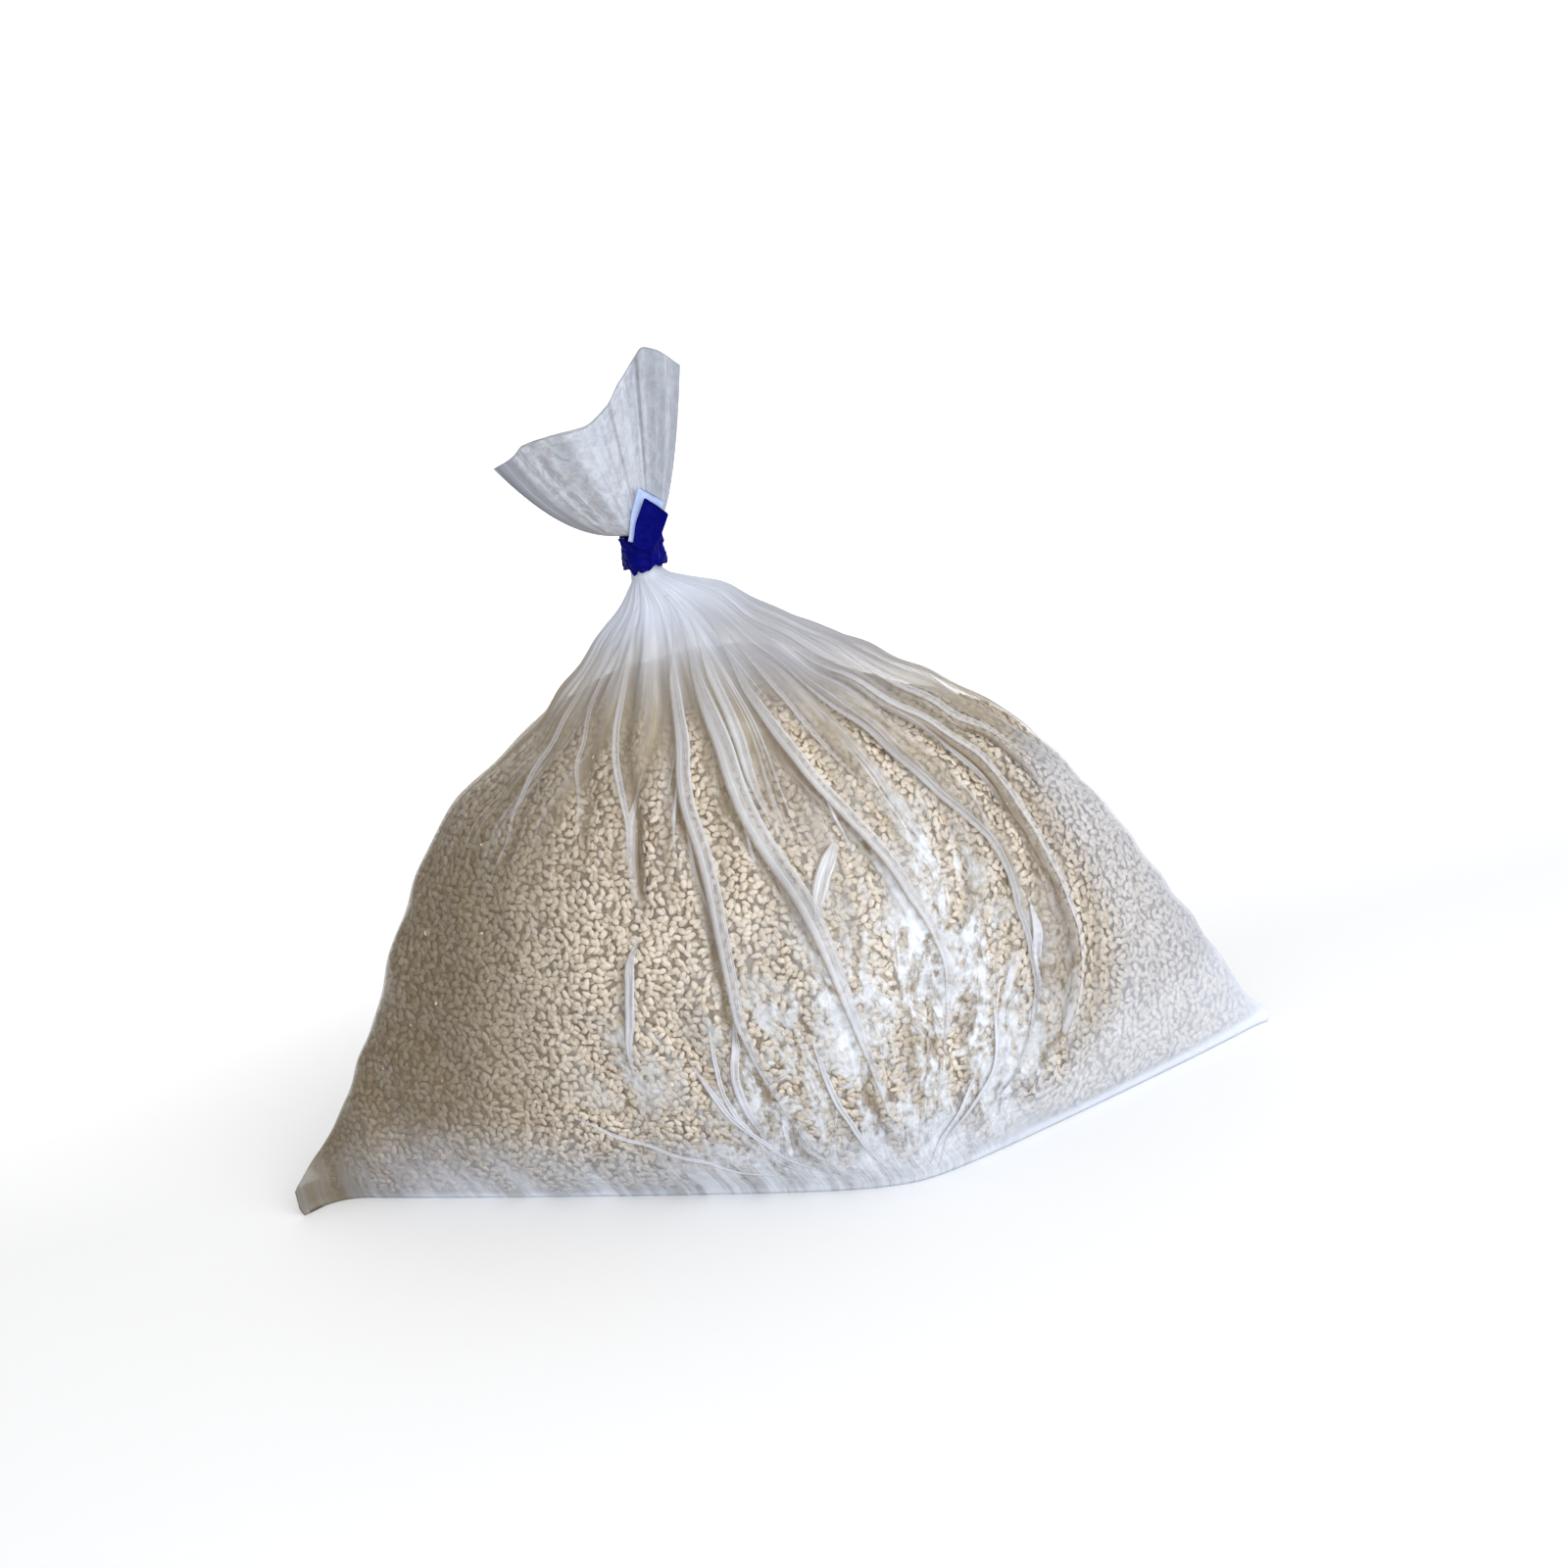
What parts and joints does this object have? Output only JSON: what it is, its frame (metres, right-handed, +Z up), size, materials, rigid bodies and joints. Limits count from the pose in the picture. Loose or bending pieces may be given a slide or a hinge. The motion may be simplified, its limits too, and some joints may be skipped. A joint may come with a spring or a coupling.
{
  "type": "bag of sesame seeds",
  "caption": "Clear plastic bag of hulled sesame seeds, flat-bottomed and pinched at its corners, with a pleated neck bound by blue tape and a crumpled fan of film above.",
  "frame": {"origin": "on the floor, under the middle of the whole part's bounding box", "axes": "+Z up through the tied neck, +X to the right along the widest side of the base, +Y away from the viewer of the front"},
  "size_m": [0.287, 0.1256, 0.227],
  "materials": {
    "clear_film": "thin clear plastic film, glossy, milky where it is folded over itself",
    "sesame_seeds": "hulled sesame seeds, cream to pale straw, matte with a faint oily sheen",
    "blue_tape": "dark blue adhesive tape, glossy, pale blue on the sticky side"
  },
  "bodies": {
    "root": {"bag": "clear_film", "neck_tape": "blue_tape"}
  },
  "joints": []
}
